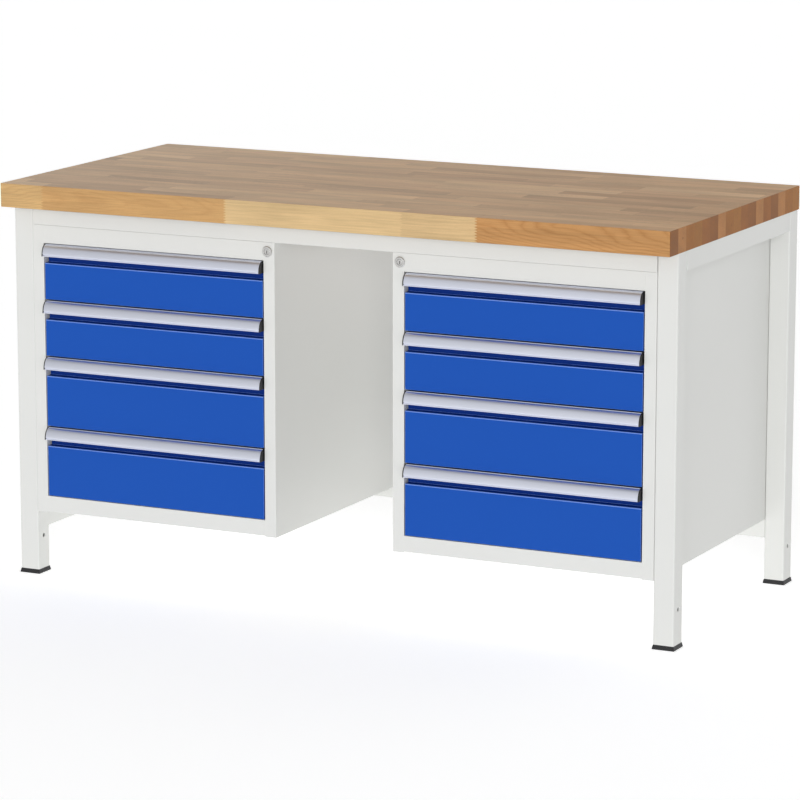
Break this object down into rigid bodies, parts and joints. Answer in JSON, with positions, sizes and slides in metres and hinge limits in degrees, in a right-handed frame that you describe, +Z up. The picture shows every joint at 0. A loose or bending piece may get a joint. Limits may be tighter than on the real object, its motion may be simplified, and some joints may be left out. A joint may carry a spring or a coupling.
{
  "type": "workbench with drawers",
  "caption": "Steel-framed workbench with a laminated beech worktop and two lockable under-bench drawer cabinets either side of a kneehole.",
  "frame": {"origin": "on the floor under the middle of the worktop", "axes": "+X right along the bench as seen from its drawer side, +Y to the back, +Z up"},
  "size_m": [1.5, 0.7, 0.84],
  "materials": {
    "beech": "oiled laminated beech staves",
    "grey_paint": "light grey fine powder coat",
    "drawer_grey": "light grey fine powder coat inside the drawers",
    "blue_paint": "blue fine powder coat",
    "grip_aluminium": "clear anodised extrusion",
    "black_plastic": "moulded, fine texture",
    "lock_metal": "satin nickel plating",
    "zinc_steel": "bright zinc plated sheet"
  },
  "bodies": {
    "root": {"worktop": "beech", "front_left_leg": "grey_paint", "front_left_foot": "black_plastic", "rear_left_leg": "grey_paint", "rear_left_foot": "black_plastic", "left_top_rail": "grey_paint", "front_right_leg": "grey_paint", "front_right_foot": "black_plastic", "rear_right_leg": "grey_paint", "rear_right_foot": "black_plastic", "right_top_rail": "grey_paint", "front_top_rail": "grey_paint", "rear_top_rail": "grey_paint", "rear_lower_rail": "grey_paint", "left_lower_rail": "grey_paint", "left_cabinet_front_frame": "grey_paint", "left_cabinet_outer_side": "grey_paint", "left_cabinet_inner_side": "grey_paint", "left_cabinet_back": "grey_paint", "left_cabinet_bottom": "grey_paint", "left_cabinet_inner_runner_rack": "zinc_steel", "left_cabinet_outer_runner_rack": "zinc_steel", "left_lock_housing": "lock_metal", "right_cabinet_front_frame": "grey_paint", "right_cabinet_outer_side": "grey_paint", "right_cabinet_inner_side": "grey_paint", "right_cabinet_back": "grey_paint", "right_cabinet_bottom": "grey_paint", "right_cabinet_inner_runner_rack": "zinc_steel", "right_cabinet_outer_runner_rack": "zinc_steel", "right_lock_housing": "lock_metal"},
    "left_drawer_1": {"left_drawer_1_tray": "drawer_grey", "left_drawer_1_front": "blue_paint", "left_drawer_1_grip": "grip_aluminium"},
    "left_drawer_2": {"left_drawer_2_tray": "drawer_grey", "left_drawer_2_front": "blue_paint", "left_drawer_2_grip": "grip_aluminium"},
    "left_drawer_3": {"left_drawer_3_tray": "drawer_grey", "left_drawer_3_front": "blue_paint", "left_drawer_3_grip": "grip_aluminium"},
    "left_drawer_4": {"left_drawer_4_tray": "drawer_grey", "left_drawer_4_front": "blue_paint", "left_drawer_4_grip": "grip_aluminium"},
    "left_lock_plug": {"left_lock_plug": "lock_metal"},
    "left_lock_bar": {"left_lock_bar": "zinc_steel"},
    "right_drawer_1": {"right_drawer_1_tray": "drawer_grey", "right_drawer_1_front": "blue_paint", "right_drawer_1_grip": "grip_aluminium"},
    "right_drawer_2": {"right_drawer_2_tray": "drawer_grey", "right_drawer_2_front": "blue_paint", "right_drawer_2_grip": "grip_aluminium"},
    "right_drawer_3": {"right_drawer_3_tray": "drawer_grey", "right_drawer_3_front": "blue_paint", "right_drawer_3_grip": "grip_aluminium"},
    "right_drawer_4": {"right_drawer_4_tray": "drawer_grey", "right_drawer_4_front": "blue_paint", "right_drawer_4_grip": "grip_aluminium"},
    "right_lock_plug": {"right_lock_plug": "lock_metal"},
    "right_lock_bar": {"right_lock_bar": "zinc_steel"}
  },
  "joints": [
    {"name": "left_drawer_1_slide", "type": "slide", "parent": "root", "child": "left_drawer_1", "axis": [0, -1, 0], "range_m": [0, 0.42]},
    {"name": "left_drawer_2_slide", "type": "slide", "parent": "root", "child": "left_drawer_2", "axis": [0, -1, 0], "range_m": [0, 0.42]},
    {"name": "left_drawer_3_slide", "type": "slide", "parent": "root", "child": "left_drawer_3", "axis": [0, -1, 0], "range_m": [0, 0.42]},
    {"name": "left_drawer_4_slide", "type": "slide", "parent": "root", "child": "left_drawer_4", "axis": [0, -1, 0], "range_m": [0, 0.42]},
    {"name": "left_lock_turn", "type": "hinge", "parent": "root", "child": "left_lock_plug", "pos_m": [-0.15, -0.3, 0.731], "axis": [0, -1, 0], "range_deg": [0, 90]},
    {"name": "left_lock_bar_drop", "type": "slide", "parent": "root", "child": "left_lock_bar", "axis": [0, 0, -1], "range_m": [0, 0.012]},
    {"name": "right_drawer_1_slide", "type": "slide", "parent": "root", "child": "right_drawer_1", "axis": [0, -1, 0], "range_m": [0, 0.42]},
    {"name": "right_drawer_2_slide", "type": "slide", "parent": "root", "child": "right_drawer_2", "axis": [0, -1, 0], "range_m": [0, 0.42]},
    {"name": "right_drawer_3_slide", "type": "slide", "parent": "root", "child": "right_drawer_3", "axis": [0, -1, 0], "range_m": [0, 0.42]},
    {"name": "right_drawer_4_slide", "type": "slide", "parent": "root", "child": "right_drawer_4", "axis": [0, -1, 0], "range_m": [0, 0.42]},
    {"name": "right_lock_turn", "type": "hinge", "parent": "root", "child": "right_lock_plug", "pos_m": [0.15, -0.3, 0.731], "axis": [0, 1, 0], "range_deg": [0, 90]},
    {"name": "right_lock_bar_drop", "type": "slide", "parent": "root", "child": "right_lock_bar", "axis": [0, 0, -1], "range_m": [0, 0.012]}
  ],
  "couplings": [
    {"joint": "left_lock_turn", "follows": "left_lock_bar_drop", "rad_per_m": 130.89},
    {"joint": "right_lock_turn", "follows": "right_lock_bar_drop", "rad_per_m": 130.89}
  ]
}
